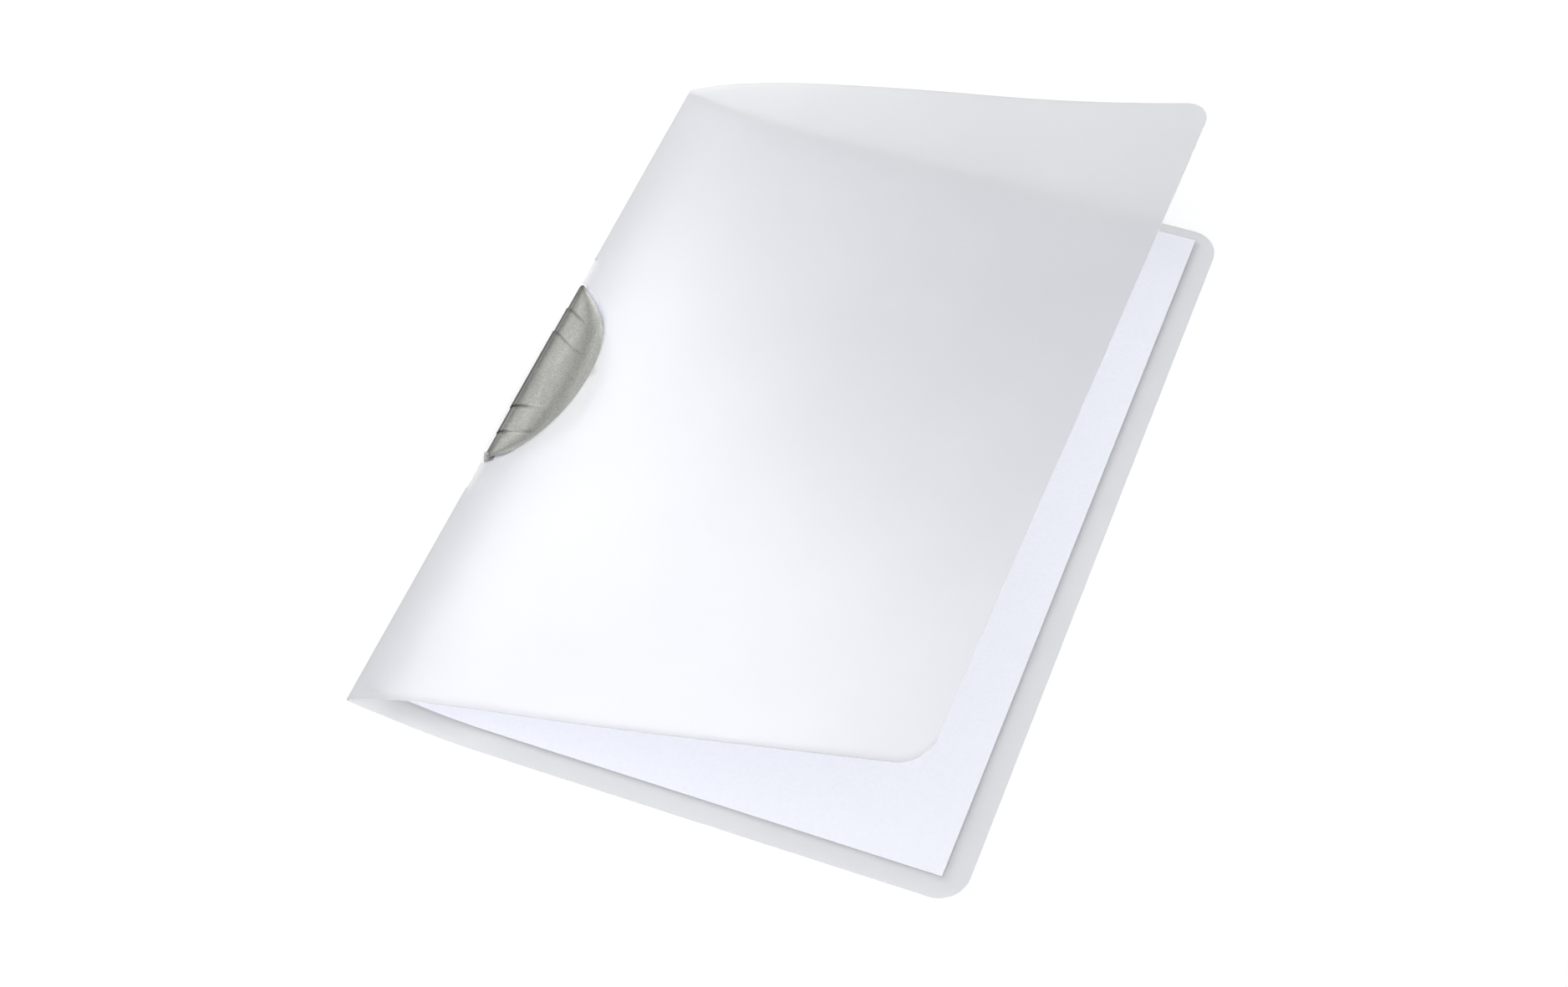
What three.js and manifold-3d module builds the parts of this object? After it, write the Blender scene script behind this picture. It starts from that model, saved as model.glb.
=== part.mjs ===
// An A4 clip folder lying on a table with its front cover standing open.
// Millimetres. X runs from the spine to the free edges, Y along the spine and Z up.

import * as THREE from 'three';
import { mergeVertices } from 'three/addons/utils/BufferGeometryUtils.js';
import Module from 'manifold-3d';

const wasm = await Module();
wasm.setup();

const { degToRad } = THREE.MathUtils;

// Cover sheet, the same for front and back
const coverWidth = 222;
const coverHeight = 310;
const sheetThickness = 0.5;
const cornerRadius = 11;

// Front cover: its slope where it leaves the crease, then at the end of each stretch, in degrees.
// Twist is how much the lower edge gains and the upper edge loses there.
const creaseSlope = 31;
const creaseStretch = 25;
const curlStretch = 35;
const middleStretch = 70;
const outerStretch = coverWidth - creaseStretch - curlStretch - middleStretch;
const frontStretches = [
  { length: creaseStretch, slope: 21.1, twist: 0 },
  { length: curlStretch, slope: 15.6, twist: 0.5 },
  { length: middleStretch, slope: 15.4, twist: 3.6 },
  { length: outerStretch, slope: 19.6, twist: -0.3 },
];

// Half-moon cut-out of the front cover, measured on the flat sheet from the crease and along the
// spine from the line where it is deepest
const cutoutDepth = 28.9;
const cutoutMiddle = -3;
const cutoutUpperReach = 48.7;
const cutoutLowerReach = 44;

// Spine: a narrow fold with a slot in it for the clip
const foldHeight = 1.4;
const foldRadius = 0.5;
const slotLength = 117;
const frontSlotDepth = 0.6;
const backSlotDepth = 2;

// Loose A4 sheets
const paperWidth = 210;
const paperHeight = 297;
const stackThickness = 0.5;
const paperFromSpine = 3.1;
const paperFromLowerEdge = 8.3;

// Clip: a half-moon with two jaws, in three tiers along its back
const clipLength = 87.5;
const clipDepth = 24.5;
const clipEndDepth = 1.4;
const clipBack = 0.45;
const webWall = 1.5;
const clipWall = 1.2;
const crownHeight = 3.3;
const backRadius = 2.2;
const tierStep = 0.38;
const tierInset = 0.22;
const tierHalfLengths = [19.4, 31.8];
const tierMiddle = -0.3;
const tierSlant = 0.5;
const tierBevel = 0.3;
const nipPlace = 0.55;
const lipFlare = 0.8;
const lipWall = 1;
const clipTilt = 9;

// Pin at the clip's lower end, its barrel on the clip and the ear of the back cover that it goes through
const pinRadius = 0.35;
const pinHeadRadius = 0.8;
const pinHeadHeight = 0.35;
const pinFromEnd = 0.75;
const pinFromSpine = 1.1;
const barrelRadius = 1.1;
const barrelRise = 0.05;
const earRadius = 1.1;
const earRoot = 1;
const earInset = 0.02;

// Clearances
const seatGap = 0.3;
const runningGap = 0.3;

// Subdivision of the curved shapes
const cutoutSteps = 14;
const cornerSteps = 6;
const foldSteps = 4;
const restSteps = 6;
const frontSteps = 12;
const twistRows = 3;
const backSteps = 4;
const crownSteps = 4;
const tierSteps = 3;
const endSteps = 4;
const roundSegments = 24;

// Values that follow from the sizes above
const tilt = degToRad(clipTilt);
const stackHalf = (sheetThickness + seatGap + stackThickness) / 2;
const nipHalf = stackHalf + runningGap;
const lipInner = nipHalf + lipFlare;
const lipOuter = lipInner + lipWall;
const valleyOuter = nipHalf + clipWall;
const endCrown = crownHeight - tierStep * tierHalfLengths.length;
const throatHalf = endCrown - clipWall;
const lipReach = clipDepth * Math.sin(tilt) + lipOuter * Math.cos(tilt);
const seatHeight = Math.max(lipReach, crownHeight);
const clipHalf = clipLength / 2;
const webInner = webWall - clipBack;
const barrelTop = Math.max(endCrown, lipOuter) + barrelRise;
const pinNeck = barrelTop + runningGap;
const pinX = pinFromSpine;
const pinY = pinFromEnd - clipHalf;

const clipSeat = new THREE.Matrix4()
  .makeTranslation(0, 0, seatHeight)
  .multiply(new THREE.Matrix4().makeRotationY(tilt));

// Back cover: down the fold, out along the clip's slope, and over a long curve onto the table
const hingeX = sheetThickness / 2;
const sheetLine = new THREE.Vector3(0, 0, sheetThickness / 2 - stackHalf).applyMatrix4(clipSeat);
const foldCorner = sheetLine.z - (hingeX - sheetLine.x) * Math.tan(tilt);
const hingeZ = foldCorner + foldHeight;
const foldTurn = Math.PI / 2 - tilt;
const foldTangent = foldRadius * Math.tan(foldTurn / 2);
const stripTop = hingeZ - sheetThickness / 2 - runningGap;
const gripLength = clipDepth + lipFlare;
const settleDrop = foldCorner - gripLength * Math.sin(tilt) - sheetThickness / 2;
const settleRadius = settleDrop / (1 - Math.cos(tilt));

const stripEnd = stripTop - foldCorner - foldTangent;
const foldEnd = stripEnd + foldRadius * foldTurn;
const panelStart = foldEnd - foldTangent;
const gripEnd = panelStart + gripLength;
const settleEnd = gripEnd + settleRadius * tilt;

const backPath = {
  start: { x: hingeX, z: stripTop, angle: -Math.PI / 2 },
  stretches: [
    { length: stripEnd, turn: 0 },
    { length: foldEnd - stripEnd, turn: foldTurn },
    { length: gripEnd - foldEnd, turn: 0 },
    { length: settleEnd - gripEnd, turn: tilt },
    { length: coverWidth, turn: 0 },
  ],
};

function frontPath(y) {
  const side = y / (coverHeight / 2);
  let slope = degToRad(creaseSlope);
  const start = { x: hingeX, z: hingeZ, angle: slope };
  const stretches = frontStretches.map(({ length, slope: endSlope, twist }) => {
    const next = degToRad(endSlope - twist * side);
    const turn = next - slope;
    slope = next;
    return { length, turn };
  });
  return { start, stretches };
}

// Point at a length along a path of straight and round stretches, moved off it along its normal
function pathPoint({ start, stretches }, length, offset) {
  let { x, z, angle } = start;
  let left = length;
  for (const stretch of stretches) {
    const step = Math.min(left, stretch.length);
    const bend = stretch.turn * step / stretch.length;
    const chord = bend === 0 ? step : step * Math.sin(bend / 2) / (bend / 2);
    x += chord * Math.cos(angle + bend / 2);
    z += chord * Math.sin(angle + bend / 2);
    angle += bend;
    left -= step;
  }
  return { x: x - offset * Math.sin(angle), z: z + offset * Math.cos(angle) };
}

// Evenly spaced numbers from one to another, both included
function spread(from, to, steps) {
  return Array.from({ length: steps + 1 }, (_, i) => from + (to - from) * i / steps);
}

// Merges equal corners and drops the faces that have no area
function closedGeometry(geometry) {
  geometry.deleteAttribute('normal');
  geometry.deleteAttribute('uv');
  const merged = mergeVertices(geometry, 1e-5);
  const corners = Array.from(merged.index.array);
  const kept = [];
  for (let i = 0; i < corners.length; i += 3) {
    const [a, b, c] = corners.slice(i, i + 3);
    if (a !== b && b !== c && c !== a) kept.push(a, b, c);
  }
  merged.setIndex(kept);
  return merged;
}

function toSolid(geometry) {
  const closed = closedGeometry(geometry);
  const vertProperties = new Float32Array(closed.attributes.position.array);
  const triVerts = new Uint32Array(closed.index.array);
  return new wasm.Manifold(new wasm.Mesh({ numProp: 3, vertProperties, triVerts }));
}

function toGeometry(solid) {
  const { vertProperties, triVerts } = solid.getMesh();
  const geometry = new THREE.BufferGeometry();
  geometry.setAttribute('position', new THREE.BufferAttribute(vertProperties, 3));
  geometry.setIndex(new THREE.BufferAttribute(triVerts, 1));
  return geometry;
}

// Collects four-sided faces and gives them back as one closed geometry
function faceCollector() {
  const numbers = [];
  const triangle = (...corners) => corners.forEach((p) => numbers.push(p.x, p.y, p.z));
  return {
    triangle,
    quad(a, b, c, d) {
      triangle(a, b, c);
      triangle(a, c, d);
    },
    geometry() {
      const geometry = new THREE.BufferGeometry();
      geometry.setAttribute('position', new THREE.Float32BufferAttribute(numbers, 3));
      return closedGeometry(geometry);
    },
  };
}

// A sheet that bends along X. Each column has its length along the path, the distance of its outer
// edges from Y = 0, and the Y of the two edges of a cut-out, which are the same where there is none.
function bentSheet(columns, rows, place) {
  const faces = faceCollector();
  for (const side of [-1, 1]) {
    const corner = ({ s, far, cut }, row, top) => {
      const outer = side * far;
      const inner = side < 0 ? cut[0] : cut[1];
      return place(s, outer + (inner - outer) * row / rows, top);
    };
    const wall = (a, b, c, d) => (side < 0 ? faces.quad(a, b, c, d) : faces.quad(d, c, b, a));
    const rim = (p, q, row, outward) => {
      const ring = [
        corner(p, row, false),
        corner(q, row, false),
        corner(q, row, true),
        corner(p, row, true),
      ];
      wall(...(outward ? ring : ring.reverse()));
    };
    for (let i = 0; i + 1 < columns.length; i++) {
      const [p, q] = [columns[i], columns[i + 1]];
      for (let row = 0; row < rows; row++) {
        for (const top of [false, true]) {
          const cell = [
            corner(p, row, top),
            corner(q, row, top),
            corner(q, row + 1, top),
            corner(p, row + 1, top),
          ];
          wall(...(top ? cell : cell.reverse()));
        }
      }
      rim(p, q, 0, true);
      if (p.cut[0] < p.cut[1]) rim(p, q, rows, false);
    }
    const ends = [[columns[0], false], [columns.at(-1), true]];
    for (const [column, last] of ends) {
      for (let row = 0; row < rows; row++) {
        const ring = [
          corner(column, row, false),
          corner(column, row + 1, false),
          corner(column, row + 1, true),
          corner(column, row, true),
        ];
        wall(...(last ? ring : ring.reverse()));
      }
    }
  }
  return faces.geometry();
}

// A column without a cut-out, split at the Y given
function fullColumn(s, height, split = 0) {
  return { s, far: height / 2, cut: [split, split] };
}

// Columns of a cover's rounded free corners, from the straight edge to the free end
function cornerColumns(from, split = 0) {
  return spread(0, Math.PI / 2, cornerSteps).map((turn) => {
    const s = from + coverWidth - cornerRadius * (1 - Math.sin(turn));
    return fullColumn(s, coverHeight - 2 * cornerRadius * (1 - Math.cos(turn)), split);
  });
}

// An upright box through the spine that clears the slot out of a cover
function slotCutter(fromX, toX) {
  const box = new THREE.BoxGeometry(toX - fromX, slotLength, coverWidth);
  box.translate((fromX + toX) / 2, 0, 0);
  return toSolid(box);
}

// An upright cylinder in the clip's own frame, on the pin's line
function pinCylinder(radius, low, high) {
  const cylinder = new THREE.CylinderGeometry(radius, radius, high - low, roundSegments);
  cylinder.rotateX(Math.PI / 2);
  cylinder.translate(pinX, pinY, (low + high) / 2);
  return cylinder;
}

function pinHole() {
  return toSolid(pinCylinder(pinRadius + runningGap, -pinNeck, pinNeck));
}

function makeFrontCover() {
  const radius = (cutoutUpperReach ** 2 + cutoutDepth ** 2) / (2 * cutoutDepth);
  const cutoutColumns = spread(0, Math.PI / 2, cutoutSteps).map((turn) => {
    const s = cutoutDepth * Math.sin(turn);
    const upper = Math.sqrt(radius ** 2 - (radius - cutoutDepth + s) ** 2);
    const lower = cutoutLowerReach * Math.cos(turn);
    const closed = [cutoutMiddle, cutoutMiddle];
    const cut = turn < Math.PI / 2 ? [cutoutMiddle - lower, cutoutMiddle + upper] : closed;
    return { s, far: coverHeight / 2, cut };
  });
  const middleColumns = spread(cutoutDepth, coverWidth - cornerRadius, frontSteps).slice(1, -1)
    .map((s) => fullColumn(s, coverHeight, cutoutMiddle));
  const columns = [...cutoutColumns, ...middleColumns, ...cornerColumns(0, cutoutMiddle)];
  const sheet = bentSheet(columns, twistRows, (s, y, top) => {
    const { x, z } = pathPoint(frontPath(y), s, (top ? 1 : -1) * sheetThickness / 2);
    return { x, y, z };
  });
  const slot = slotCutter(-coverWidth, hingeX + frontSlotDepth);
  return toGeometry(toSolid(sheet).subtract(slot));
}

function makeBackCover() {
  const lengths = [0, ...spread(stripEnd, foldEnd, foldSteps), ...spread(gripEnd, settleEnd, restSteps)];
  const straight = lengths.map((s) => fullColumn(s, coverHeight));
  const sheet = bentSheet([...straight, ...cornerColumns(panelStart)], 1, (s, y, top) => {
    const { x, z } = pathPoint(backPath, s, (top ? 1 : -1) * sheetThickness / 2);
    return { x, y, z };
  });
  const slot = slotCutter(-coverWidth, backSlotDepth);
  return toGeometry(toSolid(sheet).subtract(slot).add(makeEar()));
}

// The tab of the back cover that reaches into the slot and takes the pin
function makeEar() {
  const outline = new THREE.Shape();
  const root = backSlotDepth + earRoot;
  outline.moveTo(root, pinY + earRadius);
  outline.lineTo(pinX, pinY + earRadius);
  outline.absarc(pinX, pinY, earRadius, Math.PI / 2, 3 * Math.PI / 2, false);
  outline.lineTo(root, pinY - earRadius);
  outline.closePath();
  const ear = new THREE.ExtrudeGeometry(outline, {
    depth: sheetThickness - 2 * earInset,
    bevelEnabled: false,
    curveSegments: roundSegments / 2,
  });
  ear.translate(0, 0, earInset - stackHalf);
  const solid = toSolid(ear).subtract(pinHole());
  return toSolid(toGeometry(solid).applyMatrix4(clipSeat));
}

// The loose sheets follow the back cover's upper face
function makePaper() {
  const from = panelStart + paperFromSpine;
  const middle = coverHeight / 2 - paperFromLowerEdge - paperHeight / 2;
  const bends = spread(gripEnd, settleEnd, restSteps);
  const columns = [from, ...bends, from + paperWidth].map((s) => fullColumn(s, paperHeight));
  const low = sheetThickness / 2 + seatGap;
  return bentSheet(columns, 1, (s, y, top) => {
    const { x, z } = pathPoint(backPath, s, low + (top ? stackThickness : 0));
    return { x, y: y - middle, z };
  });
}

// Depth of the clip's arc along a station line that leaves the spine at the height given
function stationDepth(y, slant) {
  const sagitta = clipDepth - clipEndDepth;
  const radius = (clipHalf ** 2 + sagitta ** 2) / (2 * sagitta);
  const centre = radius - clipDepth;
  const a = 1 + slant ** 2;
  const b = centre - slant * y;
  const c = centre ** 2 + y ** 2 - radius ** 2;
  return (Math.sqrt(b ** 2 - a * c) - b) / a;
}

// The clip's section at full depth in one of its tiers: from the front lip over the crown, round the
// back to the other lip, and back through the throat
function clipSection(tier) {
  const crown = crownHeight - tier * tierStep;
  const nipX = nipPlace * clipDepth;
  const crownX = backRadius - clipBack + tier * tierInset;
  const half = [
    [clipDepth, lipOuter],
    [(clipDepth + nipX) / 2, valleyOuter + (lipOuter - valleyOuter) / 4],
  ];
  for (const share of spread(0, 1, crownSteps)) {
    const rise = (1 - Math.cos(Math.PI * share)) / 2;
    half.push([nipX + (crownX - nipX) * share, valleyOuter + (crown - valleyOuter) * rise]);
  }
  for (const turn of spread(0, Math.PI / 2, backSteps).slice(1)) {
    half.push([crownX - backRadius * Math.sin(turn), crown - backRadius * (1 - Math.cos(turn))]);
  }
  const inner = [
    [webInner, throatHalf / 2],
    [webInner + throatHalf / 2, throatHalf],
    [nipX / 2, (throatHalf + nipHalf) / 2],
    [nipX, nipHalf],
    [clipDepth, lipInner],
  ];
  const mirrored = (points) => points.map(([u, w]) => [u, -w]).reverse();
  return [...half, ...mirrored(half), ...mirrored(inner), ...inner];
}

// Places along the spine where the clip's section is set, with the tier that each lies in
function clipStations() {
  const halfStations = (side) => {
    const steps = tierHalfLengths.map((half) => half + side * tierMiddle);
    const stations = steps.flatMap((y, i) => [
      { y: y - tierBevel / 2, tier: i },
      { y: y + tierBevel / 2, tier: i + 1 },
    ]);
    spread(0, steps[0], tierSteps).slice(1, -1).forEach((y) => stations.push({ y, tier: 0 }));
    steps.slice(1).forEach((y, i) => stations.push({ y: (y + steps[i]) / 2, tier: i + 1 }));
    const lastTier = steps.length;
    spread(steps.at(-1), clipHalf, endSteps).slice(1).forEach((y) => stations.push({ y, tier: lastTier }));
    return stations.sort((p, q) => p.y - q.y);
  };
  const lower = halfStations(-1).map(({ y, tier }) => ({ y: -y, tier })).reverse();
  return [...lower, { y: 0, tier: 0 }, ...halfStations(1)];
}

function makeClip() {
  const rings = clipStations().map(({ y, tier }) => {
    const slant = tierSlant * Math.sin(Math.PI * y / clipHalf);
    const squeeze = (stationDepth(y, slant) - webInner) / (clipDepth - webInner);
    return clipSection(tier).map(([u, w]) => {
      const x = Math.min(u, webInner) + Math.max(u - webInner, 0) * squeeze;
      return new THREE.Vector3(x, y - slant * Math.max(x, 0), w);
    });
  });
  const faces = faceCollector();
  for (let i = 0; i + 1 < rings.length; i++) {
    const [a, b] = [rings[i], rings[i + 1]];
    a.forEach((p, j) => {
      const next = (j + 1) % a.length;
      faces.quad(p, b[j], b[next], a[next]);
    });
  }
  for (const ring of [rings[0], rings.at(-1)]) {
    const outline = ring.map(({ x, z }) => new THREE.Vector2(x, z));
    for (const [a, b, c] of THREE.ShapeUtils.triangulateShape(outline, [])) {
      if (ring === rings[0]) faces.triangle(ring[a], ring[b], ring[c]);
      else faces.triangle(ring[c], ring[b], ring[a]);
    }
  }
  const barrel = toSolid(pinCylinder(barrelRadius, -barrelTop, barrelTop));
  const earTop = sheetThickness - stackHalf;
  const slit = toSolid(pinCylinder(earRadius + runningGap, -nipHalf, earTop + runningGap));
  return toGeometry(toSolid(faces.geometry()).add(barrel).subtract(slit).subtract(pinHole()));
}

// A plain pin with a low head at each end
function makePin() {
  const end = pinNeck + pinHeadHeight;
  const profile = [
    [0, -end],
    [pinHeadRadius, -end],
    [pinHeadRadius, -pinNeck],
    [pinRadius, -pinNeck],
    [pinRadius, pinNeck],
    [pinHeadRadius, pinNeck],
    [pinHeadRadius, end],
    [0, end],
  ].map(([r, h]) => new THREE.Vector2(r, h));
  const pin = closedGeometry(new THREE.LatheGeometry(profile, roundSegments));
  pin.rotateX(Math.PI / 2);
  pin.translate(pinX, pinY, 0);
  return pin;
}

const frostedSheet = { color: 0xe9ebee, roughness: 0.55, metalness: 0, transparent: true, opacity: 0.6 };
const finishes = {
  front_cover: frostedSheet,
  back_cover: frostedSheet,
  paper_sheets: { color: 0xf1f2f8, roughness: 0.9, metalness: 0 },
  clip: { color: 0xb1b2a9, roughness: 0.42, metalness: 0.35 },
  pivot_pin: { color: 0xa9aaa3, roughness: 0.35, metalness: 0.8 },
};

function piece(name, geometry) {
  const mesh = new THREE.Mesh(geometry, new THREE.MeshStandardMaterial(finishes[name]));
  mesh.name = name;
  return mesh;
}

const folder = new THREE.Group();
folder.add(piece('front_cover', makeFrontCover()));
folder.add(piece('back_cover', makeBackCover()));
folder.add(piece('paper_sheets', makePaper()));

const clipGroup = new THREE.Group();
clipGroup.position.z = seatHeight;
clipGroup.rotation.y = tilt;
clipGroup.add(piece('clip', makeClip()));
clipGroup.add(piece('pivot_pin', makePin()));
folder.add(clipGroup);

// The origin is under the middle of the whole folder, at table height
folder.updateMatrixWorld(true);
const extent = new THREE.Box3().setFromObject(folder, true);
const centre = extent.getCenter(new THREE.Vector3());
folder.position.set(-centre.x, -centre.y, -extent.min.z);

const model = new THREE.Group();
model.add(folder);

export default model;
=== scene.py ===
import math

import bmesh
import bpy
from mathutils import Matrix, Vector


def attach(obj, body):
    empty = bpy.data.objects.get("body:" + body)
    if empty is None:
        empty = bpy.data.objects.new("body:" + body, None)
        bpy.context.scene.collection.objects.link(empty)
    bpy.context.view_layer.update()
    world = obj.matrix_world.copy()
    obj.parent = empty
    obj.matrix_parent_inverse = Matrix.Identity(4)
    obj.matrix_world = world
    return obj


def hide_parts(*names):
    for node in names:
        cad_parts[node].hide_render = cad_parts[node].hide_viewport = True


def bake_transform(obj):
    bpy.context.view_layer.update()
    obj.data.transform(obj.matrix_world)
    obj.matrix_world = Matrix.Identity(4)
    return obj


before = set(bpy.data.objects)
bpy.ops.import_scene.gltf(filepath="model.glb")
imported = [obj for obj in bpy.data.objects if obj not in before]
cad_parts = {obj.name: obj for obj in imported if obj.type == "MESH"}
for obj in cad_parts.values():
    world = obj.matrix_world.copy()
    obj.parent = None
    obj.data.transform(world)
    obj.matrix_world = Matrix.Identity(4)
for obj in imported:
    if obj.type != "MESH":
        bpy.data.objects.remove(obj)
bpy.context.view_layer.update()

# Sizes are in millimetres and slopes in degrees, unless a comment says otherwise
MM = 0.001

# Where the measured spine line lies in the frame
SPINE_X = -110.6113

# Cover sheet
COVER_WIDTH = 222
COVER_HEIGHT = 310
SHEET = 0.5
SHEET_EDGE = 0.1
CORNER_RADIUS = 11

# Front cover: slope at the crease, then length, end slope and twist of each stretch
CREASE_SLOPE = 31
FRONT_STRETCHES = ((25, 21.1, 0), (35, 15.6, 0.5), (70, 15.4, 3.6), (92, 19.6, -0.3))
CREASE_END = 0.3
CREASE_PULL = 0.3

# Half-moon cut-out, whose upper part is an arc and whose lower part runs out flatter
CUTOUT_DEPTH = 28.9
CUTOUT_MIDDLE = -3
CUTOUT_UPPER = 48.7
CUTOUT_LOWER = 44

# Spine
FOLD_HEIGHT = 1.4
FOLD_RADIUS = 0.5
SLOT_HALF = 58.5
FRONT_SLOT = 0.6
BACK_SLOT = 2

# Sheets of paper
PAPER_WIDTH = 210
PAPER_HEIGHT = 297
STACK = 0.5
STACK_EDGE = 0.06
STACK_LIFT = 0.08
PAPER_FROM_SPINE = 3.1
PAPER_FROM_END = 8.3

# Clip
CLIP_LENGTH = 87.5
CLIP_DEPTH = 24.5
CLIP_END_DEPTH = 1.4
CLIP_BACK = 0.45
WEB_WALL = 1.5
CLIP_WALL = 1.2
CROWN = 3.3
BACK_RADIUS = 2.2
TIER_STEP = 0.38
TIER_INSET = 0.22
TIER_HALVES = (19.4, 31.8)
TIER_MIDDLE = -0.3
TIER_SLANT = 0.5
TIER_BEVEL = 0.22
NIP_PLACE = 0.55
LIP_FLARE = 0.8
LIP_WALL = 1
LIP_EDGE = 0.3
LIP_ROUND = 0.12
LIP_CORNER = 0.1
TILT = math.radians(9)

# Pin and ear
PIN_RADIUS = 0.35
PIN_HEAD = 0.8
PIN_HEAD_HEIGHT = 0.35
PIN_HEAD_ROUND = 0.12
PIN_HEAD_SHOULDER = 0.168
PIN_HEAD_RIM = 0.03
PIN_FROM_END = 0.75
PIN_FROM_SPINE = 1.1
BARREL_RADIUS = 1.1
BARREL_RISE = 0.05
EAR_RADIUS = 1.1
EAR_ROOT = 0.4
EAR_INSET = 0.02

SEAT_GAP = 0.3
GAP = 0.3

# Tint of the clip with painted shade and a painted highlight, 0 dark and 1 light: painted shade along the
# back, in the valley and at the tier steps, and a painted highlight on the crown; a share runs from the
# clip's back at 0 to its lip at 1
TINT = 0.58
PAINTED_LIGHT_CHANGE = 0.14
CROWN_HIGHLIGHT_SHARE = 0.28
CROWN_HIGHLIGHT_WIDTH = 0.14
VALLEY_SHADE_SHARE = 0.6
VALLEY_SHADE_WIDTH = 0.11
UPPER_STEP_SHADE = 0.3
LOWER_STEP_SHADE = 0.42
STEP_SHADE_WIDTH = 0.32
STEP_SHADE_END_SHARE = 0.35
BACK_SHADE_TINT = 0.03
BACK_SHADE_FADE = 4.6
NUB_TINT = 0.5
NUB_REACH = 1.6
NUB_FADE = 1.2
LEAST_SQUEEZE = 0.02

# Number of steps along and across each form
OUTER_ROWS = 26
INNER_ROWS = 12
CUTOUT_STEPS = 30
FRONT_STEPS = 46
CORNER_STEPS = 14
CREASE_STEPS = 6
STRIP_STEPS = 2
FOLD_STEPS = 7
GRIP_STEPS = 6
SETTLE_STEPS = 12
BACK_STEPS = 30
PAPER_STEPS = 24
PAPER_ROWS = 36
CLIP_STATIONS = 70
RAMP_STEPS = 4
RAMP_CLEARANCE = 0.35
LIP_STEPS = 8
CROWN_STEPS = 14
BACK_ROUND_STEPS = 9
ROUND_STEPS = 48
EAR_STEPS = 40

# Angles above which an edge is rounded or stays sharp
BEVEL_ANGLE = 50
SHARP_ANGLE = 30
SHEET_SHARP_ANGLE = 35
CLIP_SHARP_ANGLE = 38

# Distances in metres below which points are one, and the smallest number to divide by
WELD = 2e-6
SLIVER = 1e-7
TINY = 1e-6

# Colours of each fine pattern, from its low to its high tone
FROST_TONES = ((0.71, 0.717, 0.733), (0.735, 0.741, 0.755))
PAPER_TONES = ((0.73, 0.744, 0.81), (0.76, 0.774, 0.835))
# For the clip, the low tone is painted shade and the high tone is the clip's own silver
CLIP_AND_PAINTED_SHADE_TONES = ((0.01, 0.01, 0.009), (0.76, 0.765, 0.72))
STREAK_TONES = ((0.88, 0.88, 0.87), (1.1, 1.1, 1.1))
FLAKE_TONES = ((0.78, 0.78, 0.78), (1.2, 1.2, 1.2))
STEEL_TONES = ((0.5, 0.5, 0.48), (0.62, 0.62, 0.6))
FLOOR_WHITE = (0.94, 0.94, 0.94, 1)

# Share of the light that passes the frosted sheet straight on its way to a surface
LIGHT_THROUGH = 0.98

# Floor, in metres
FLOOR_HALF = 6
FLOOR_DROP = 0.0004

# Strength of the studio's walls, from the viewer's side to the far side
WALL_RANGE = (-0.5, 0.6)
WALL_STRENGTHS = (0.95, 0.15)

# Camera: angles, the point that it looks at, and focal length in pixels of the photograph
CAMERA_YAW = 23.661
CAMERA_PITCH = 52.936
CAMERA_ROLL = -3.119
CAMERA_DISTANCE = 1016.2
CAMERA_TARGET = (107.08, -17.05, 0)
FOCAL_PIXELS = 3352
PHOTO_WIDTH = 1876
SENSOR_WIDTH = 36
NEAREST_METRES = 0.02
FARTHEST_METRES = 50

# Values that follow for the clip and the pin
STACK_HALF = (SHEET + SEAT_GAP + STACK) / 2
NIP_HALF = STACK_HALF + GAP
LIP_INNER = NIP_HALF + LIP_FLARE
LIP_OUTER = LIP_INNER + LIP_WALL
VALLEY = NIP_HALF + CLIP_WALL
END_CROWN = CROWN - TIER_STEP * len(TIER_HALVES)
THROAT = END_CROWN - CLIP_WALL
SEAT = CLIP_DEPTH * math.sin(TILT) + LIP_OUTER * math.cos(TILT)
CLIP_HALF = CLIP_LENGTH / 2
WEB_INNER = WEB_WALL - CLIP_BACK
BARREL_TOP = max(END_CROWN, LIP_OUTER) + BARREL_RISE
PIN_NECK = BARREL_TOP + GAP
PIN_X = PIN_FROM_SPINE
PIN_Y = PIN_FROM_END - CLIP_HALF

# Values that follow for the covers and the spine
CORNER_START = COVER_WIDTH - CORNER_RADIUS
CUTOUT_CIRCLE = (CUTOUT_UPPER ** 2 + CUTOUT_DEPTH ** 2) / (2 * CUTOUT_DEPTH)
HINGE_X = SHEET / 2
LINE_X = (SHEET / 2 - STACK_HALF) * math.sin(TILT)
LINE_Z = SEAT + (SHEET / 2 - STACK_HALF) * math.cos(TILT)
FOLD_CORNER = LINE_Z - (HINGE_X - LINE_X) * math.tan(TILT)
HINGE_Z = FOLD_CORNER + FOLD_HEIGHT
FOLD_TURN = math.pi / 2 - TILT
FOLD_TANGENT = FOLD_RADIUS * math.tan(FOLD_TURN / 2)
STRIP_TOP = HINGE_Z - SHEET / 2 - GAP
GRIP = CLIP_DEPTH + LIP_FLARE
SETTLE_DROP = FOLD_CORNER - GRIP * math.sin(TILT) - SHEET / 2
SETTLE_RADIUS = SETTLE_DROP / (1 - math.cos(TILT))
STRIP_END = STRIP_TOP - FOLD_CORNER - FOLD_TANGENT
FOLD_END = STRIP_END + FOLD_RADIUS * FOLD_TURN
PANEL_START = FOLD_END - FOLD_TANGENT
GRIP_END = PANEL_START + GRIP
SETTLE_END = GRIP_END + SETTLE_RADIUS * TILT

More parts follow.
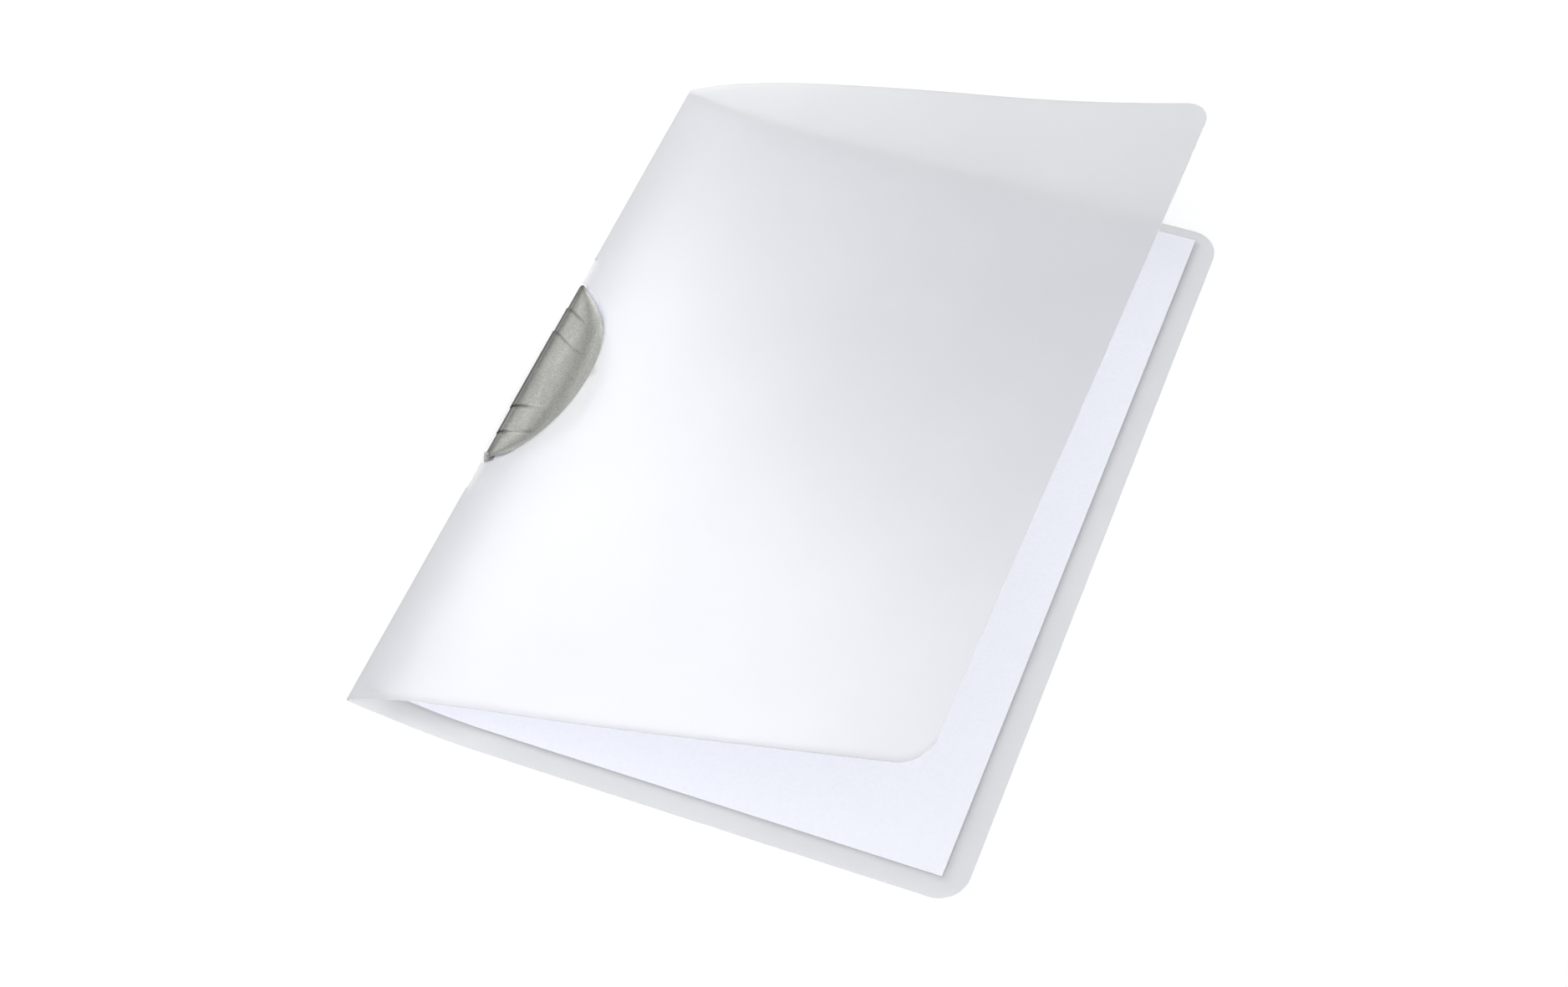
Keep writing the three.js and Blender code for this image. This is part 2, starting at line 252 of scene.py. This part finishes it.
# Back cover: down the spine, round the fold, out along the clip's slope and onto the table
BACK_START = (HINGE_X, STRIP_TOP, -math.pi / 2)
BACK_STRETCHES = (
    (STRIP_END, 0),
    (FOLD_END - STRIP_END, FOLD_TURN),
    (GRIP_END - FOLD_END, 0),
    (SETTLE_END - GRIP_END, TILT),
    (COVER_WIDTH, 0),
)


def place(x, y, z):
    """A point given in millimetres from the spine, in the frame's metres."""
    return Vector(((x + SPINE_X) * MM, y * MM, z * MM))


def clip_place(x, y, z):
    """A point given in the clip's own tilted axes."""
    c, s = math.cos(TILT), math.sin(TILT)
    return place(x * c + z * s, y, SEAT - x * s + z * c)


def spread(a, b, steps):
    """Evenly spaced values from a to b, both ends included."""
    return [a + (b - a) * i / steps for i in range(steps + 1)]


def smooth(t):
    """Rises softly from 0 to 1 while t goes from 0 to 1."""
    t = min(1, max(0, t))
    return t * t * (3 - 2 * t)


def bell(value, width):
    return math.exp(-(value / width) ** 2)


def path_point(start, stretches, length, offset=0):
    """X and Z at a length along straight and round stretches, moved off along the normal."""
    x, z, angle = start
    left = length
    for size, turn in stretches:
        step = min(left, size)
        bend = turn * step / size
        chord = step if bend == 0 else step * math.sin(bend / 2) / (bend / 2)
        x += chord * math.cos(angle + bend / 2)
        z += chord * math.sin(angle + bend / 2)
        angle += bend
        left -= step
    return x - offset * math.sin(angle), z + offset * math.cos(angle)


def front_point(s, y):
    """X and Z of the front cover at a length from the crease; its slopes change with Y."""
    side = y / (COVER_HEIGHT / 2)
    slope = math.radians(CREASE_SLOPE)
    start = (HINGE_X, HINGE_Z, slope)
    stretches = []
    for size, end, twist in FRONT_STRETCHES:
        after = math.radians(end - twist * side)
        stretches.append((size, after - slope))
        slope = after
    return path_point(start, stretches, s)


def crease_point(t):
    """X and Z of the crease, from the top of the spine at t 0 to the front cover at t 1."""
    a = Vector((HINGE_X, STRIP_TOP))
    b = Vector(front_point(CREASE_END, 0))
    slope = math.radians(CREASE_SLOPE)
    p1 = a + Vector((0, CREASE_PULL))
    p2 = b - CREASE_PULL * Vector((math.cos(slope), math.sin(slope)))
    k = 1 - t
    return k ** 3 * a + 3 * k * k * t * p1 + 3 * k * t * t * p2 + t ** 3 * b


def on_front(s, y):
    x, z = front_point(s, y)
    return place(x, y, z)


def on_crease(t, y):
    x, z = crease_point(t)
    return place(x, y, z)


def on_back(s, y, lift=0):
    x, z = path_point(BACK_START, BACK_STRETCHES, s, lift)
    return place(x, y, z)


def new_object(name, data):
    obj = bpy.data.objects.new(name, data)
    bpy.context.scene.collection.objects.link(obj)
    return obj


def mesh_object(name, bm):
    mesh = bpy.data.meshes.new(name)
    bm.to_mesh(mesh)
    bm.free()
    return new_object(name, mesh)


def bake(obj):
    """Puts what the modifiers do into the mesh itself."""
    bpy.context.view_layer.update()
    graph = bpy.context.evaluated_depsgraph_get()
    mesh = bpy.data.meshes.new_from_object(obj.evaluated_get(graph))
    obj.modifiers.clear()
    old = obj.data
    obj.data = mesh
    bpy.data.meshes.remove(old)
    mesh.name = obj.name


def thicken(obj, thickness, edge, segments, even=False):
    """Gives a surface its thickness, half to each side, and rounded edges."""
    solid = obj.modifiers.new("thickness", "SOLIDIFY")
    solid.thickness = thickness * MM
    solid.offset = 0
    solid.use_even_offset = even
    bevel = obj.modifiers.new("edges", "BEVEL")
    bevel.width = edge * MM
    bevel.segments = segments
    bevel.limit_method = "ANGLE"
    bevel.angle_limit = math.radians(BEVEL_ANGLE)
    bake(obj)


def finish_mesh(obj, material, angle=SHARP_ANGLE):
    mesh = obj.data
    mesh.materials.clear()
    mesh.materials.append(material)
    mesh.polygons.foreach_set("use_smooth", [True] * len(mesh.polygons))
    mesh.set_sharp_from_angle(angle=math.radians(angle))
    return obj


def add_strip(bm, columns, placer):
    """Adds one grid of quads; a column is a length and the Y of each row there."""
    grid = [[bm.verts.new(placer(s, y)) for y in ys] for s, ys in columns]
    for a, b in zip(grid, grid[1:]):
        for i in range(len(a) - 1):
            bm.faces.new((a[i], b[i], b[i + 1], a[i + 1]))


def join_rings(bm, a, b):
    """Adds a band of quads between two rings with as many points."""
    count = len(a)
    for i in range(count):
        j = (i + 1) % count
        bm.faces.new((a[i], b[i], b[j], a[j]))


def pin_ring(bm, radius, level, steps=ROUND_STEPS):
    """A ring of points round the pin's line."""
    ring = []
    for i in range(steps):
        a = 2 * math.pi * i / steps
        x = PIN_X + radius * math.cos(a)
        y = PIN_Y + radius * math.sin(a)
        ring.append(bm.verts.new(clip_place(x, y, level)))
    return ring


def corner_far(s):
    """Half height of a cover at a length from its spine, with the rounded free corner."""
    over = s - CORNER_START
    if over <= 0:
        return COVER_HEIGHT / 2
    over = min(over, CORNER_RADIUS)
    return COVER_HEIGHT / 2 - CORNER_RADIUS + math.sqrt(max(0, CORNER_RADIUS ** 2 - over ** 2))


def bank(side, s):
    """Y of the cut-out's edge at a length from the crease, above or below its middle."""
    if s >= CUTOUT_DEPTH:
        return CUTOUT_MIDDLE
    if side < 0:
        return CUTOUT_MIDDLE - CUTOUT_LOWER * math.sqrt(max(0, 1 - (s / CUTOUT_DEPTH) ** 2))
    across = CUTOUT_CIRCLE - CUTOUT_DEPTH + s
    return CUTOUT_MIDDLE + math.sqrt(max(0, CUTOUT_CIRCLE ** 2 - across ** 2))


def outer_rows(side, s):
    """Y of the rows from a long edge of the sheet to the slot's end."""
    return spread(side * corner_far(s), side * SLOT_HALF, OUTER_ROWS)


def inner_rows(side, y):
    """Y of the rows from the slot's end inwards."""
    return spread(side * SLOT_HALF, y, INNER_ROWS)


def cover_sheet(name, material):
    """Both covers and the spine as the one folded sheet that they are."""
    front_slot = FRONT_SLOT / math.cos(math.radians(CREASE_SLOPE))
    fold_end_x = path_point(BACK_START, BACK_STRETCHES, FOLD_END)[0]
    back_slot = FOLD_END + (BACK_SLOT - fold_end_x) / math.cos(TILT)
    cut_start = math.asin(front_slot / CUTOUT_DEPTH)
    corner = [CORNER_START + CORNER_RADIUS * math.sin(t) for t in spread(0, math.pi / 2, CORNER_STEPS)[1:]]

    # Lengths from the crease over the front cover, and from the spine's top over the back cover
    front = [CUTOUT_DEPTH * math.sin(t) for t in spread(cut_start, math.pi / 2, CUTOUT_STEPS)]
    front += spread(CUTOUT_DEPTH, CORNER_START, FRONT_STEPS)[1:] + corner
    spine = spread(0, STRIP_END, STRIP_STEPS) + spread(STRIP_END, FOLD_END, FOLD_STEPS)[1:]
    back = spread(back_slot, GRIP_END, GRIP_STEPS) + spread(GRIP_END, SETTLE_END, SETTLE_STEPS)[1:]
    back += spread(SETTLE_END, PANEL_START + CORNER_START, BACK_STEPS)[1:]
    back += [PANEL_START + s for s in corner]

    bm = bmesh.new()
    for side in (-1, 1):
        # Beside the slot the sheet runs on from cover to cover
        add_strip(bm, [(s, outer_rows(side, s)) for s in [CREASE_END] + front], on_front)
        add_strip(bm, [(t, outer_rows(side, 0)) for t in spread(0, 1, CREASE_STEPS)], on_crease)
        add_strip(bm, [(s, outer_rows(side, s - PANEL_START)) for s in spine + back], on_back)

        # Along the slot each cover starts at its own edge
        add_strip(bm, [(s, inner_rows(side, bank(side, s))) for s in front], on_front)
        add_strip(bm, [(s, inner_rows(side, 0)) for s in back], on_back)

    bmesh.ops.remove_doubles(bm, verts=bm.verts, dist=WELD)
    bmesh.ops.dissolve_degenerate(bm, edges=bm.edges, dist=SLIVER)
    bmesh.ops.recalc_face_normals(bm, faces=bm.faces)
    obj = mesh_object(name, bm)
    thicken(obj, SHEET, SHEET_EDGE, segments=2, even=True)
    return finish_mesh(obj, material, SHEET_SHARP_ANGLE)


def ear(name, material):
    """The tab of the back cover that carries the pin, with its hole."""
    bm = bmesh.new()
    root = BACK_SLOT + EAR_ROOT - PIN_X
    rings = []
    for level in (SHEET - STACK_HALF - EAR_INSET, EAR_INSET - STACK_HALF):
        inner = pin_ring(bm, PIN_RADIUS + GAP, level, EAR_STEPS)
        outer = []
        for i in range(EAR_STEPS):
            a = 2 * math.pi * i / EAR_STEPS
            c, s = math.cos(a), math.sin(a)
            reach = EAR_RADIUS
            if c > TINY:
                reach = min(root / c, EAR_RADIUS / max(abs(s), TINY))
            outer.append(bm.verts.new(clip_place(PIN_X + reach * c, PIN_Y + reach * s, level)))
        rings += [inner, outer]
    inner_top, outer_top, inner_low, outer_low = rings
    join_rings(bm, inner_top, outer_top)
    join_rings(bm, outer_top, outer_low)
    join_rings(bm, outer_low, inner_low)
    join_rings(bm, inner_low, inner_top)
    bmesh.ops.recalc_face_normals(bm, faces=bm.faces)
    return finish_mesh(mesh_object(name, bm), material)


def paper(name, material):
    """The loose sheets, which follow the back cover."""
    start = PANEL_START + PAPER_FROM_SPINE
    middle = PAPER_FROM_END + PAPER_HEIGHT / 2 - COVER_HEIGHT / 2
    lift = SHEET / 2 + STACK_LIFT + STACK / 2
    lengths = spread(start, GRIP_END, GRIP_STEPS) + spread(GRIP_END, SETTLE_END, SETTLE_STEPS)[1:]
    lengths += spread(SETTLE_END, start + PAPER_WIDTH, PAPER_STEPS)[1:]
    rows = spread(middle - PAPER_HEIGHT / 2, middle + PAPER_HEIGHT / 2, PAPER_ROWS)

    def on_stack(s, y):
        return on_back(s, y, lift)

    bm = bmesh.new()
    add_strip(bm, [(s, rows) for s in lengths], on_stack)
    obj = mesh_object(name, bm)
    thicken(obj, STACK, STACK_EDGE, segments=1)
    return finish_mesh(obj, material, SHEET_SHARP_ANGLE)


def slant_at(y):
    """How far a station leans along the spine for each millimetre out from it."""
    return TIER_SLANT * math.sin(math.pi * y / CLIP_HALF)


def squeeze_at(y, slant):
    """How much of the full depth in front of the web is left where a station meets the arc."""
    sagitta = CLIP_DEPTH - CLIP_END_DEPTH
    radius = (CLIP_HALF ** 2 + sagitta ** 2) / (2 * sagitta)
    centre = radius - CLIP_DEPTH
    a = 1 + slant ** 2
    b = centre - slant * y
    c = centre ** 2 + y ** 2 - radius ** 2
    depth = (math.sqrt(max(0, b * b - a * c)) - b) / a
    return (depth - WEB_INNER) / (CLIP_DEPTH - WEB_INNER)


def mirrored(points):
    return [(u, -w) for u, w in reversed(points)]


def clip_section(tier):
    """The clip's section at full depth; the tier may lie between two of them."""
    crown = CROWN - tier * TIER_STEP
    nip = NIP_PLACE * CLIP_DEPTH
    crown_x = BACK_RADIUS - CLIP_BACK + tier * TIER_INSET
    flare = LIP_OUTER - VALLEY
    lip_x = CLIP_DEPTH - LIP_CORNER
    half = [
        (CLIP_DEPTH - LIP_ROUND, LIP_OUTER - LIP_EDGE),
        (CLIP_DEPTH, LIP_OUTER - LIP_ROUND),
        (lip_x, LIP_OUTER),
    ]
    for t in spread(0, 1, LIP_STEPS)[1:-1]:
        half.append((lip_x + (nip - CLIP_DEPTH) * t, VALLEY + flare * (1 - t) ** 2))
    for t in spread(0, 1, CROWN_STEPS):
        rise = (1 - math.cos(math.pi * t)) / 2
        half.append((nip + (crown_x - nip) * t, VALLEY + (crown - VALLEY) * rise))
    for t in spread(0, math.pi / 2, BACK_ROUND_STEPS)[1:]:
        half.append((crown_x - BACK_RADIUS * math.sin(t), crown - BACK_RADIUS * (1 - math.cos(t))))
    inner = [
        (WEB_INNER, THROAT / 2),
        (WEB_INNER + THROAT / 2, THROAT),
        (nip / 2, (THROAT + NIP_HALF) / 2),
        (nip, NIP_HALF),
        (CLIP_DEPTH - LIP_ROUND, LIP_INNER),
    ]
    return half + mirrored(half) + mirrored(inner) + inner


def tier_at(y, side):
    """Which tier a station lies in, with a steep short ramp at each step."""
    tier = 0
    for half in TIER_HALVES:
        edge = half + side * TIER_MIDDLE
        tier += smooth((abs(y) - edge) / TIER_BEVEL + 0.5)
    return tier


def clip_stations():
    """Places of the sections along the clip, closer together on the ramp at each step."""
    ramps = []
    for side in (-1, 1):
        for half in TIER_HALVES:
            middle = half + side * TIER_MIDDLE
            ramps += [side * (middle + TIER_BEVEL * t) for t in spread(-0.5, 0.5, RAMP_STEPS)]
    stations = []
    for y in sorted(ramps + spread(-CLIP_HALF, CLIP_HALF, CLIP_STATIONS)):
        near_ramp = any(abs(y - ramp) < RAMP_CLEARANCE for ramp in ramps)
        if y in ramps or not near_ramp:
            stations.append(y)
    return stations


def painted_clip_light(point):
    """How light the clip's tint is at a point, with painted shade along the back, in the valley and at the
    steps, and a painted highlight on the crown.
    """
    y = point.y / MM
    out, up = point.x / MM - SPINE_X, point.z / MM - SEAT
    x = out * math.cos(TILT) - up * math.sin(TILT)
    slant = slant_at(y)
    station = max(-CLIP_HALF, min(CLIP_HALF, y + slant * max(x, 0)))
    squeeze = max(squeeze_at(station, slant), LEAST_SQUEEZE)
    share = (WEB_INNER + max(0, x - WEB_INNER) / squeeze) / CLIP_DEPTH
    side = 1 if station > 0 else -1
    # Painted shade lines at the tier steps, fading towards the lip
    line = UPPER_STEP_SHADE if side > 0 else LOWER_STEP_SHADE
    line *= max(bell(station - side * half - TIER_MIDDLE, STEP_SHADE_WIDTH) for half in TIER_HALVES)
    line *= 1 - smooth(share / STEP_SHADE_END_SHARE - 1)
    value = TINT - line
    # Painted highlight along the crown and painted shade in the valley
    value += PAINTED_LIGHT_CHANGE * bell(share - CROWN_HIGHLIGHT_SHARE, CROWN_HIGHLIGHT_WIDTH)
    value -= PAINTED_LIGHT_CHANGE * bell(share - VALLEY_SHADE_SHARE, VALLEY_SHADE_WIDTH)
    # Painted shade darkening towards the rounded back
    back = BACK_SHADE_TINT + (1 - BACK_SHADE_TINT) * smooth((x + CLIP_BACK) / BACK_SHADE_FADE)
    # The nub at the pin's end gets an even tone in place of the painted shade
    nub = smooth((PIN_Y + NUB_REACH - y) / NUB_FADE)
    return value * back * (1 - nub) + NUB_TINT * nub


def cylinder(name, radius, low, high):
    """A closed round bar on the pin's line."""
    bm = bmesh.new()
    bottom = pin_ring(bm, radius, low)
    top = pin_ring(bm, radius, high)
    for i in range(ROUND_STEPS):
        j = (i + 1) % ROUND_STEPS
        bm.faces.new((bottom[i], bottom[j], top[j], top[i]))
    bm.faces.new(list(reversed(bottom)))
    bm.faces.new(top)
    return mesh_object(name, bm)


def clip(name, material):
    """The half-moon clip with its barrel, the slit for the ear and the pin's bore."""
    bm = bmesh.new()
    rings = []
    for y in clip_stations():
        slant = slant_at(y)
        squeeze = squeeze_at(y, slant)
        ring = []
        for u, w in clip_section(tier_at(y, 1 if y > 0 else -1)):
            x = min(u, WEB_INNER) + max(u - WEB_INNER, 0) * squeeze
            ring.append(bm.verts.new(clip_place(x, y - slant * max(x, 0), w)))
        rings.append(ring)
    for a, b in zip(rings, rings[1:]):
        join_rings(bm, a, b)
    for ring in (rings[0], rings[-1]):
        ends = [bm.edges.get(pair) for pair in zip(ring, ring[1:] + ring[:1])]
        bmesh.ops.triangle_fill(bm, edges=ends, use_beauty=True, use_dissolve=False)
    bmesh.ops.recalc_face_normals(bm, faces=bm.faces)
    obj = mesh_object(name, bm)
    tools = [
        (cylinder("barrel", BARREL_RADIUS, -BARREL_TOP, BARREL_TOP), "UNION"),
        (cylinder("slit", EAR_RADIUS + GAP, -NIP_HALF, SHEET - STACK_HALF + GAP), "DIFFERENCE"),
        (cylinder("bore", PIN_RADIUS + GAP, -PIN_NECK, PIN_NECK), "DIFFERENCE"),
    ]
    for tool, operation in tools:
        cut = obj.modifiers.new(tool.name, "BOOLEAN")
        cut.operation = operation
        cut.solver = "EXACT"
        cut.object = tool
    bake(obj)
    for tool, _ in tools:
        bpy.data.objects.remove(tool, do_unlink=True)
    # Painted shade and painted highlight for each point, read by the clip's material
    shade = obj.data.attributes.new("shade", "FLOAT", "POINT")
    shade.data.foreach_set("value", [painted_clip_light(v.co) for v in obj.data.vertices])
    return finish_mesh(obj, material, CLIP_SHARP_ANGLE)


def pin(name, material):
    """The pin with a rounded head at each end."""
    end = PIN_NECK + PIN_HEAD_HEIGHT
    half = [
        (PIN_HEAD - 2 * PIN_HEAD_ROUND, end),
        (PIN_HEAD - PIN_HEAD_ROUND / 2, end - PIN_HEAD_ROUND / 2),
        (PIN_HEAD, end - PIN_HEAD_SHOULDER),
        (PIN_HEAD, PIN_NECK + PIN_HEAD_RIM),
        (PIN_HEAD - PIN_HEAD_RIM, PIN_NECK),
        (PIN_RADIUS, PIN_NECK),
    ]
    bm = bmesh.new()
    top = bm.verts.new(clip_place(PIN_X, PIN_Y, end))
    rings = [pin_ring(bm, radius, level) for radius, level in half]
    rings += [pin_ring(bm, radius, -level) for radius, level in reversed(half)]
    low = bm.verts.new(clip_place(PIN_X, PIN_Y, -end))
    for a, b in zip(rings, rings[1:]):
        join_rings(bm, a, b)
    for i in range(ROUND_STEPS):
        j = (i + 1) % ROUND_STEPS
        bm.faces.new((top, rings[0][i], rings[0][j]))
        bm.faces.new((rings[-1][i], low, rings[-1][j]))
    bmesh.ops.recalc_face_normals(bm, faces=bm.faces)
    return finish_mesh(mesh_object(name, bm), material)


class Nodes:
    """Short helper for building a material's nodes."""

    def __init__(self, name):
        self.material = bpy.data.materials.new(name)
        self.material.use_nodes = True
        self.tree = self.material.node_tree
        self.shader = self.tree.nodes["Principled BSDF"]
        self.out = self.tree.nodes["Material Output"]
        self.coords = self.add("ShaderNodeTexCoord").outputs["Object"]

    def add(self, kind, **values):
        node = self.tree.nodes.new(kind)
        for key, value in values.items():
            setattr(node, key, value)
        return node

    def link(self, a, b):
        self.tree.links.new(a, b)

    def noise(self, scale, detail, rough=0.5, stretch=(1, 1, 1)):
        mapping = self.add("ShaderNodeMapping")
        mapping.inputs["Scale"].default_value = stretch
        self.link(self.coords, mapping.inputs["Vector"])
        node = self.add("ShaderNodeTexNoise")
        node.inputs["Scale"].default_value = scale
        node.inputs["Detail"].default_value = detail
        node.inputs["Roughness"].default_value = rough
        self.link(mapping.outputs["Vector"], node.inputs["Vector"])
        return node.outputs["Fac"]

    def ramp(self, fac, low=0, high=1, start=0.3, end=0.7):
        node = self.add("ShaderNodeMapRange")
        node.inputs["From Min"].default_value = start
        node.inputs["From Max"].default_value = end
        node.inputs["To Min"].default_value = low
        node.inputs["To Max"].default_value = high
        self.link(fac, node.inputs["Value"])
        return node.outputs["Result"]

    def blend(self, fac, tones):
        """A colour between the low and the high tone."""
        node = self.add("ShaderNodeMix", data_type="RGBA")
        node.inputs["A"].default_value = (*tones[0], 1)
        node.inputs["B"].default_value = (*tones[1], 1)
        self.link(fac, node.inputs["Factor"])
        return node.outputs["Result"]

    def multiply(self, a, b):
        node = self.add("ShaderNodeMix", data_type="RGBA", blend_type="MULTIPLY")
        node.inputs["Factor"].default_value = 1
        self.link(a, node.inputs["A"])
        self.link(b, node.inputs["B"])
        return node.outputs["Result"]

    def bump(self, height, distance, strength, after=None):
        node = self.add("ShaderNodeBump")
        node.inputs["Strength"].default_value = strength
        node.inputs["Distance"].default_value = distance
        self.link(height, node.inputs["Height"])
        if after is not None:
            self.link(after, node.inputs["Normal"])
        return node.outputs["Normal"]


def frosted():
    m = Nodes("frosted_sheet")
    s = m.shader
    cloud = m.noise(scale=14, detail=2)
    grain = m.noise(scale=1400, detail=3, rough=0.6)
    waves = m.noise(scale=9, detail=1)
    m.link(m.blend(m.ramp(cloud), FROST_TONES), s.inputs["Base Color"])
    m.link(m.ramp(grain, low=0.28, high=0.34), s.inputs["Roughness"])
    fine = m.bump(grain, distance=0.00003, strength=0.5)
    m.link(m.bump(waves, distance=0.0012, strength=0.12, after=fine), s.inputs["Normal"])
    s.inputs["Transmission Weight"].default_value = 0.72
    s.inputs["IOR"].default_value = 1.18
    s.inputs["Coat Weight"].default_value = 0.9
    s.inputs["Coat Roughness"].default_value = 0.32
    s.inputs["Coat IOR"].default_value = 1.5

    # Light passes the sheet nearly straight, while the eye sees only a blur through it
    clear = m.add("ShaderNodeBsdfTransparent")
    path = m.add("ShaderNodeLightPath")
    share = m.add("ShaderNodeMath", operation="MULTIPLY")
    share.inputs[1].default_value = LIGHT_THROUGH
    m.link(path.outputs["Is Shadow Ray"], share.inputs[0])
    mix = m.add("ShaderNodeMixShader")
    m.link(share.outputs[0], mix.inputs["Fac"])
    m.link(s.outputs["BSDF"], mix.inputs[1])
    m.link(clear.outputs["BSDF"], mix.inputs[2])
    m.link(mix.outputs["Shader"], m.out.inputs["Surface"])
    return m.material


def paper_white():
    m = Nodes("paper_white")
    s = m.shader
    fibre = m.noise(scale=700, detail=4, rough=0.65)
    m.link(m.blend(m.ramp(fibre), PAPER_TONES), s.inputs["Base Color"])
    m.link(m.bump(fibre, distance=0.00004, strength=0.35), s.inputs["Normal"])
    s.inputs["Roughness"].default_value = 0.85
    s.inputs["Specular IOR Level"].default_value = 0.25
    return m.material


def clip_silver():
    m = Nodes("clip_silver")
    s = m.shader
    brushed = m.noise(scale=260, detail=3, rough=0.6, stretch=(1, 0.16, 1))
    speckle = m.noise(scale=1500, detail=3, rough=0.7)
    # The clip's colour, darkened by painted shade and lightened by a painted highlight through the
    # per-point values
    tint = m.add("ShaderNodeAttribute", attribute_name="shade")
    base = m.blend(tint.outputs["Fac"], CLIP_AND_PAINTED_SHADE_TONES)
    streaks = m.multiply(base, m.blend(m.ramp(brushed), STREAK_TONES))
    flakes = m.multiply(streaks, m.blend(m.ramp(speckle), FLAKE_TONES))
    m.link(flakes, s.inputs["Base Color"])
    m.link(m.ramp(speckle, low=0.34, high=0.5), s.inputs["Roughness"])
    fine = m.bump(speckle, distance=0.00005, strength=0.35)
    m.link(m.bump(brushed, distance=0.00012, strength=0.4, after=fine), s.inputs["Normal"])
    s.inputs["Metallic"].default_value = 0.35
    return m.material


def steel():
    m = Nodes("pin_steel")
    s = m.shader
    turned = m.noise(scale=900, detail=2, stretch=(1, 1, 4))
    m.link(m.blend(m.ramp(turned), STEEL_TONES), s.inputs["Base Color"])
    m.link(m.ramp(turned, low=0.26, high=0.4), s.inputs["Roughness"])
    s.inputs["Metallic"].default_value = 0.9
    return m.material


def floor():
    m = Nodes("floor_white")
    m.shader.inputs["Base Color"].default_value = FLOOR_WHITE
    m.shader.inputs["Roughness"].default_value = 1
    m.shader.inputs["Specular IOR Level"].default_value = 0
    bm = bmesh.new()
    corners = [(-1, -1), (1, -1), (1, 1), (-1, 1)]
    bm.faces.new([bm.verts.new((x * FLOOR_HALF, y * FLOOR_HALF, -FLOOR_DROP)) for x, y in corners])
    obj = mesh_object("floor", bm)
    obj.data.materials.append(m.material)


def soft_sun(name, toward, spread_angle, strength):
    """A very large, far light in the direction given."""
    light = bpy.data.lights.new(name, "SUN")
    light.angle = math.radians(spread_angle)
    light.energy = strength
    obj = new_object(name, light)
    obj.matrix_world = Vector(toward).to_track_quat("Z", "Y").to_matrix().to_4x4()


def softbox(name, position, target, size, power):
    """A square light near the object, unseen by the camera; lengths are in metres."""
    light = bpy.data.lights.new(name, "AREA")
    light.shape = "SQUARE"
    light.size = size
    light.energy = power
    obj = new_object(name, light)
    obj.visible_camera = False
    aim = (Vector(position) - Vector(target)).to_track_quat("Z", "Y")
    obj.matrix_world = Matrix.Translation(position) @ aim.to_matrix().to_4x4()


def studio():
    """White walls that give less light from the far side."""
    world = bpy.data.worlds.new("studio")
    bpy.context.scene.world = world
    world.use_nodes = True
    tree = world.node_tree
    background = tree.nodes["Background"]
    background.inputs["Color"].default_value = (1, 1, 1, 1)
    where = tree.nodes.new("ShaderNodeTexCoord")
    parts = tree.nodes.new("ShaderNodeSeparateXYZ")
    fade = tree.nodes.new("ShaderNodeMapRange")
    fade.inputs["From Min"].default_value = WALL_RANGE[0]
    fade.inputs["From Max"].default_value = WALL_RANGE[1]
    fade.inputs["To Min"].default_value = WALL_STRENGTHS[0]
    fade.inputs["To Max"].default_value = WALL_STRENGTHS[1]
    tree.links.new(where.outputs["Generated"], parts.inputs["Vector"])
    tree.links.new(parts.outputs["Y"], fade.inputs["Value"])
    tree.links.new(fade.outputs["Result"], background.inputs["Strength"])


def camera():
    yaw, pitch, roll = (math.radians(a) for a in (CAMERA_YAW, CAMERA_PITCH, CAMERA_ROLL))
    level = Vector((-math.sin(yaw), math.cos(yaw), 0))
    forward = math.cos(pitch) * level - math.sin(pitch) * Vector((0, 0, 1))
    right = forward.cross(Vector((0, 0, 1))).normalized()
    up = right.cross(forward)
    rolled_right = math.cos(roll) * right + math.sin(roll) * up
    rolled_up = math.cos(roll) * up - math.sin(roll) * right
    position = place(*CAMERA_TARGET) - forward * CAMERA_DISTANCE * MM
    data = bpy.data.cameras.new("photo_camera")
    data.sensor_width = SENSOR_WIDTH
    data.lens = FOCAL_PIXELS / PHOTO_WIDTH * SENSOR_WIDTH
    data.clip_start = NEAREST_METRES
    data.clip_end = FARTHEST_METRES
    obj = new_object("photo_camera", data)
    turn = Matrix((rolled_right, rolled_up, -forward)).transposed()
    obj.matrix_world = Matrix.Translation(position) @ turn.to_4x4()
    bpy.context.scene.camera = obj


frost = frosted()
sheet = cover_sheet("cover_sheet", frost)
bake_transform(sheet)
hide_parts("front_cover", "back_cover")

tab = ear("pin_ear", frost)
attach(tab, "folder")

stack = paper("paper_stack", paper_white())
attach(stack, "folder")
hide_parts("paper_sheets")

spring = clip("spring_clip", clip_silver())
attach(spring, "spring_clip")
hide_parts("clip")

axle = pin("clip_pin", steel())
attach(axle, "spring_clip")
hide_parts("pivot_pin")

floor()
softbox("key", position=(-0.61, 0.29, 0.46), target=(-0.02, -0.05, 0.02), size=0.38, power=2.3)
soft_sun("front", toward=(0.2, -0.45, 0.87), spread_angle=70, strength=1.5)
studio()
camera()
bpy.context.scene.view_settings.view_transform = "Standard"
